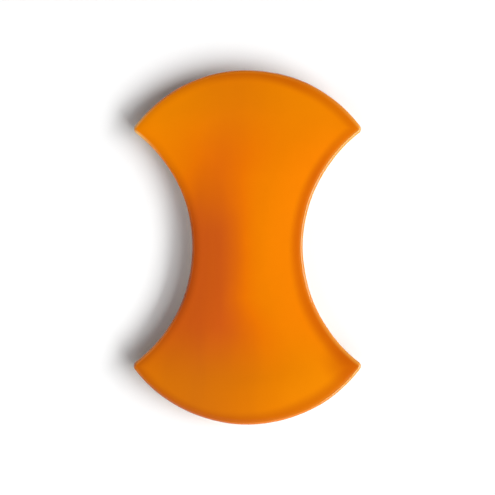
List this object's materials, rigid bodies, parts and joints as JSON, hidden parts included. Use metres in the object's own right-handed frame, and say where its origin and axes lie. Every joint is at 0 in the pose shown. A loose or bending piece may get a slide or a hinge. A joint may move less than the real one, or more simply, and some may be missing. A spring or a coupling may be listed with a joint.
{
  "type": "handmade ceramic tile",
  "caption": "Spool-shaped glazed clay tile with rounded ends and hollow flanks that nest with its neighbours, softly pillowed face and combed back, for floors and walls",
  "frame": {"origin": "centre of the tile's back, on the plane that beds on the floor or wall", "axes": "+X across the waist, +Y along the tile from one rounded end to the other, +Z out of the glazed face"},
  "size_m": [0.0974, 0.1514, 0.01],
  "materials": {
    "glazed_clay": "gloss"
  },
  "bodies": {
    "root": {"tile": "glazed_clay"}
  },
  "joints": []
}
